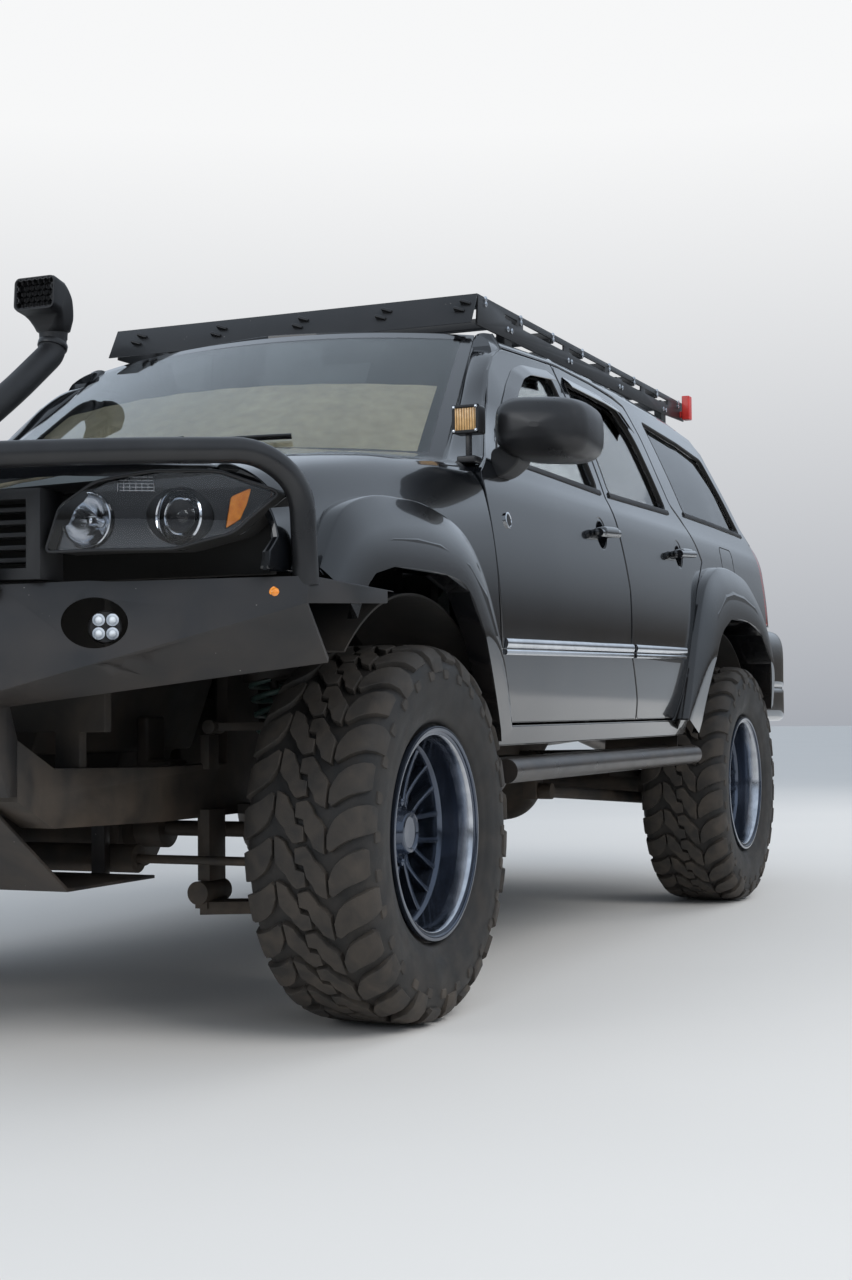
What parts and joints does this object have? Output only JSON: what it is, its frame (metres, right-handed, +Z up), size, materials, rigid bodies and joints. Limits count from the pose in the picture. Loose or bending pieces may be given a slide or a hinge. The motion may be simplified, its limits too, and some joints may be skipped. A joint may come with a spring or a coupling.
{
  "type": "off-road vehicle",
  "caption": "Lifted four-door off-road estate with plate bumper, tube hoops, snorkel, roof rack, rock sliders and mud tyres.",
  "frame": {"origin": "on the ground, midway along the length, on the centre plane", "axes": "+X to the vehicle's left, +Y to the rear (the front faces -Y), +Z up"},
  "size_m": [2.262, 4.925, 2.0179],
  "materials": {
    "body_paint": "gloss",
    "clear_glass": "gloss",
    "lamp_lens": "gloss",
    "red_lens": "gloss",
    "tyre_rubber": "matte",
    "rim_black": "gloss",
    "chassis_steel": "satin",
    "spring_steel": "satin",
    "exhaust_steel": "satin",
    "armour_plate": "satin",
    "black_plastic": "matte",
    "floor_paint": "matte",
    "cabin_trim": "matte",
    "seat_fabric": "matte"
  },
  "bodies": {
    "vehicle": {"body_side_left": "body_paint", "body_side_right": "body_paint", "roof_panel": "body_paint", "front_wings": "body_paint", "fixed_glass": "clear_glass", "lamp_covers": "lamp_lens", "auxiliary_lamps": "lamp_lens", "tail_lamps": "red_lens", "front_arms": "chassis_steel", "ladder_frame": "chassis_steel", "front_drive": "chassis_steel", "rear_axle": "chassis_steel", "transmission": "chassis_steel", "steering_rack": "chassis_steel", "fuel_tank": "chassis_steel", "engine_block": "chassis_steel", "skid_plate": "chassis_steel", "front_coilovers": "spring_steel", "rear_springs": "spring_steel", "exhaust": "exhaust_steel", "front_bumper": "armour_plate", "bumper_hoops": "armour_plate", "roof_rack": "armour_plate", "rock_sliders": "armour_plate", "snorkel": "black_plastic", "arch_liners": "black_plastic", "rear_bumper": "black_plastic", "scuttle": "black_plastic", "grille": "black_plastic", "front_panel": "black_plastic", "headlamps": "black_plastic", "floor_pan": "floor_paint", "dashboard": "cabin_trim", "front_seats": "seat_fabric", "rear_seat": "seat_fabric"},
    "steer_left": {"knuckle_left": "chassis_steel"},
    "steer_right": {"knuckle_right": "chassis_steel"},
    "wheel_front_left": {"rim_front_left": "rim_black", "tyre_front_left": "tyre_rubber"},
    "wheel_front_right": {"rim_front_right": "rim_black", "tyre_front_right": "tyre_rubber"},
    "wheel_rear_left": {"rim_rear_left": "rim_black", "tyre_rear_left": "tyre_rubber"},
    "wheel_rear_right": {"rim_rear_right": "rim_black", "tyre_rear_right": "tyre_rubber"},
    "door_front_left": {"door_front_left": "body_paint", "door_glass_front_left": "clear_glass", "mirror_left": "black_plastic"},
    "door_rear_left": {"door_rear_left": "body_paint", "door_glass_rear_left": "clear_glass"},
    "door_front_right": {"door_front_right": "body_paint", "door_glass_front_right": "clear_glass", "mirror_right": "black_plastic"},
    "door_rear_right": {"door_rear_right": "body_paint", "door_glass_rear_right": "clear_glass"},
    "hood": {"hood": "body_paint"},
    "tailgate": {"tailgate": "body_paint", "tailgate_glass": "clear_glass"},
    "steering_wheel": {"steering_wheel": "black_plastic"},
    "steering_link": {"steering_link": "chassis_steel"}
  },
  "joints": [
    {"name": "steer_left", "type": "hinge", "parent": "vehicle", "child": "steer_left", "pos_m": [0.664, -1.4375, 0.268], "axis": [-0.1798, 0, 0.9837], "range_deg": [-32, 32]},
    {"name": "steer_right", "type": "hinge", "parent": "vehicle", "child": "steer_right", "pos_m": [-0.664, -1.4375, 0.268], "axis": [0.1798, 0, 0.9837], "range_deg": [-32, 32]},
    {"name": "steering_link", "type": "slide", "parent": "vehicle", "child": "steering_link", "axis": [1, 0, 0], "range_m": [-0.0975, 0.0975]},
    {"name": "steering_wheel", "type": "hinge", "parent": "vehicle", "child": "steering_wheel", "pos_m": [0.38, -0.5075, 1.13], "axis": [0, 0.8984, 0.4392], "range_deg": [-520, 520]},
    {"name": "wheel_front_left", "type": "hinge", "parent": "steer_left", "child": "wheel_front_left", "pos_m": [0.8, -1.4375, 0.418], "axis": [1, 0, 0], "continuous": true},
    {"name": "wheel_front_right", "type": "hinge", "parent": "steer_right", "child": "wheel_front_right", "pos_m": [-0.8, -1.4375, 0.418], "axis": [1, 0, 0], "continuous": true},
    {"name": "wheel_rear_left", "type": "hinge", "parent": "vehicle", "child": "wheel_rear_left", "pos_m": [0.8, 1.3525, 0.418], "axis": [1, 0, 0], "continuous": true},
    {"name": "wheel_rear_right", "type": "hinge", "parent": "vehicle", "child": "wheel_rear_right", "pos_m": [-0.8, 1.3525, 0.418], "axis": [1, 0, 0], "continuous": true},
    {"name": "door_front_left", "type": "hinge", "parent": "vehicle", "child": "door_front_left", "pos_m": [0.905, -0.9675, 0.95], "axis": [0, 0, -1], "range_deg": [0, 65]},
    {"name": "door_rear_left", "type": "hinge", "parent": "vehicle", "child": "door_rear_left", "pos_m": [0.912, 0.0655, 0.95], "axis": [0, 0, -1], "range_deg": [0, 65]},
    {"name": "door_front_right", "type": "hinge", "parent": "vehicle", "child": "door_front_right", "pos_m": [-0.905, -0.9675, 0.95], "axis": [0, 0, 1], "range_deg": [0, 65]},
    {"name": "door_rear_right", "type": "hinge", "parent": "vehicle", "child": "door_rear_right", "pos_m": [-0.912, 0.0655, 0.95], "axis": [0, 0, 1], "range_deg": [0, 65]},
    {"name": "hood", "type": "hinge", "parent": "vehicle", "child": "hood", "pos_m": [0, -1.0655, 1.285], "axis": [-1, 0, 0], "range_deg": [0, 50]},
    {"name": "tailgate", "type": "hinge", "parent": "vehicle", "child": "tailgate", "pos_m": [0, 1.9305, 1.752], "axis": [1, 0, 0], "range_deg": [0, 80]}
  ],
  "couplings": [
    {"joint": "steer_right", "follows": "steer_left", "ratio": 1},
    {"joint": "steering_link", "follows": "steer_left", "m_per_rad": 0.1741},
    {"joint": "steering_wheel", "follows": "steer_left", "ratio": 16}
  ]
}
